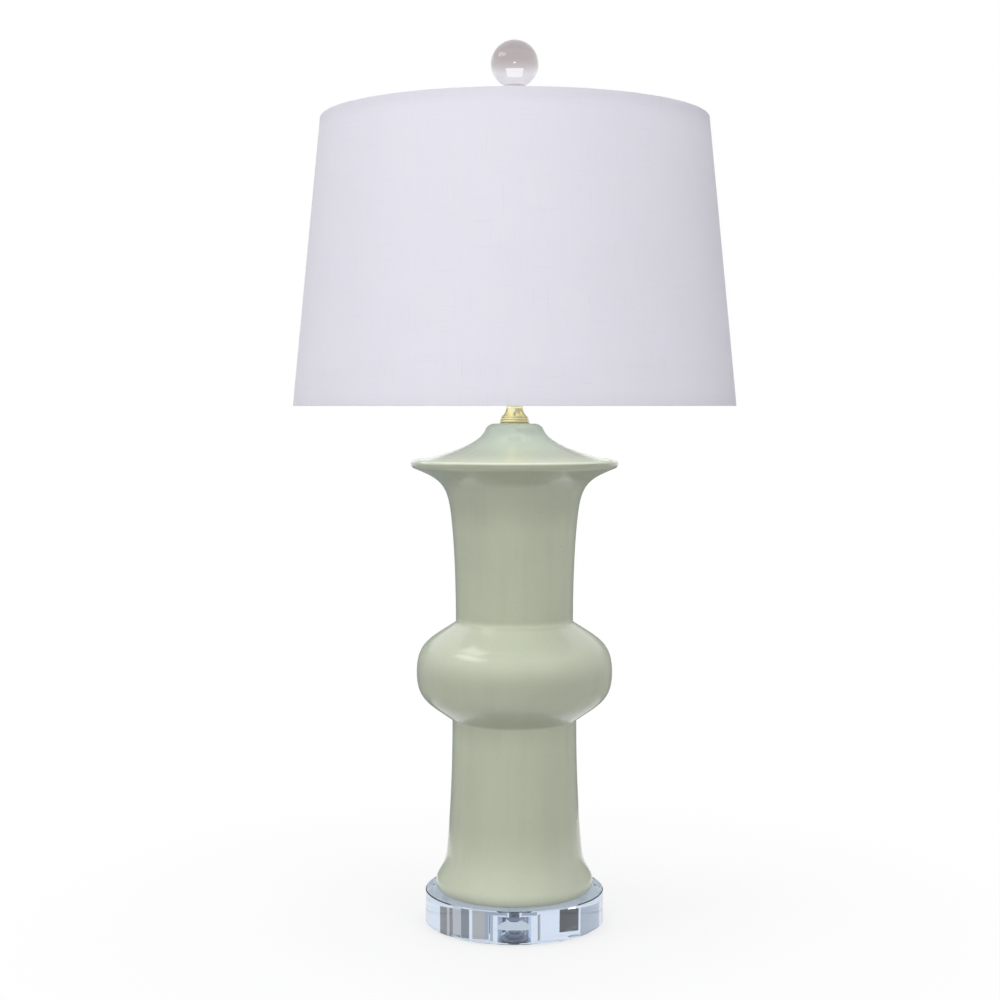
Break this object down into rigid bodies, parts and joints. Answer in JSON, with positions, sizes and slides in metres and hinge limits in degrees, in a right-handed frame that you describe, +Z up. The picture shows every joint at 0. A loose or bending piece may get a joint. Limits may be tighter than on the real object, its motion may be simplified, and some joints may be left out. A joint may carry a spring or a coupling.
{
  "type": "table lamp",
  "caption": "Porcelain table lamp on a clear disc, with a drum shade on a harp, a screw-in bulb in a socket with a turn switch, and a clear ball finial.",
  "frame": {"origin": "on the lamp's axis, on the surface that its feet stand on", "axes": "+Z up along the lamp's axis, -Y towards the front, where the switch's knob points"},
  "size_m": [0.4063, 0.4064, 0.8151],
  "materials": {
    "porcelain": "glossy celadon glaze",
    "acrylic": "polished clear acrylic",
    "clear_rubber": "clear, soft",
    "dark_rubber": "matte",
    "steel": "zinc plated",
    "brass": "polished, pale",
    "nickel": "nickel plated, polished",
    "paper": "matte",
    "phenolic": "moulded",
    "tinned_shell": "bright",
    "black_plastic": "moulded, semi-gloss",
    "bulb_glass": "frosted inside",
    "linen": "fine off-white weave",
    "styrene": "smooth, white",
    "crystal": "polished, clear"
  },
  "bodies": {
    "stand": {"foot_pads": "clear_rubber", "base_disc": "acrylic", "bottom_washer": "steel", "bottom_nut": "brass", "lamp_pipe": "brass", "centring_bush": "dark_rubber", "porcelain_body": "porcelain", "cord_outlet_bush": "dark_rubber", "cap_gasket": "dark_rubber", "check_ring": "brass", "brass_neck": "brass", "harp_saddle": "brass", "harp_loop": "brass", "harp_rest": "brass", "socket_cap": "brass", "socket_set_screw": "steel", "socket_shell": "brass", "socket_liner": "paper", "socket_interior": "phenolic", "screw_shell": "tinned_shell", "centre_contact": "brass", "terminal_screws": "steel"},
    "switch": {"switch_knob": "black_plastic"},
    "bulb": {"bulb_base": "tinned_shell", "bulb_contact": "tinned_shell", "bulb_glass": "bulb_glass"},
    "shade": {"shade_linen": "linen", "shade_liner": "styrene", "shade_top_ring": "brass", "shade_bottom_ring": "brass", "shade_spider": "brass", "spider_washer": "brass"},
    "finial": {"finial_stem": "nickel", "finial_ball": "crystal"},
    "ferrule_left": {"ferrule_left": "brass"},
    "ferrule_right": {"ferrule_right": "brass"}
  },
  "joints": [
    {"name": "switch_turn", "type": "hinge", "parent": "stand", "child": "switch", "pos_m": [0, -0.025, 0.5106], "axis": [0, -1, 0], "continuous": true},
    {"name": "bulb_turn", "type": "hinge", "parent": "stand", "child": "bulb", "pos_m": [0, 0, 0.5226], "axis": [0, 0, 1], "range_deg": [0, 1080]},
    {"name": "shade_swivel", "type": "hinge", "parent": "stand", "child": "shade", "pos_m": [0, 0, 0.737], "axis": [0, 0, 1], "continuous": true},
    {"name": "finial_turn", "type": "hinge", "parent": "stand", "child": "finial", "pos_m": [0, 0, 0.7378], "axis": [0, 0, 1], "range_deg": [0, 2520]},
    {"name": "ferrule_left_lift", "type": "slide", "parent": "stand", "child": "ferrule_left", "axis": [0, 0, 1], "range_m": [0, 0.013]},
    {"name": "ferrule_right_lift", "type": "slide", "parent": "stand", "child": "ferrule_right", "axis": [0, 0, 1], "range_m": [0, 0.013]}
  ]
}
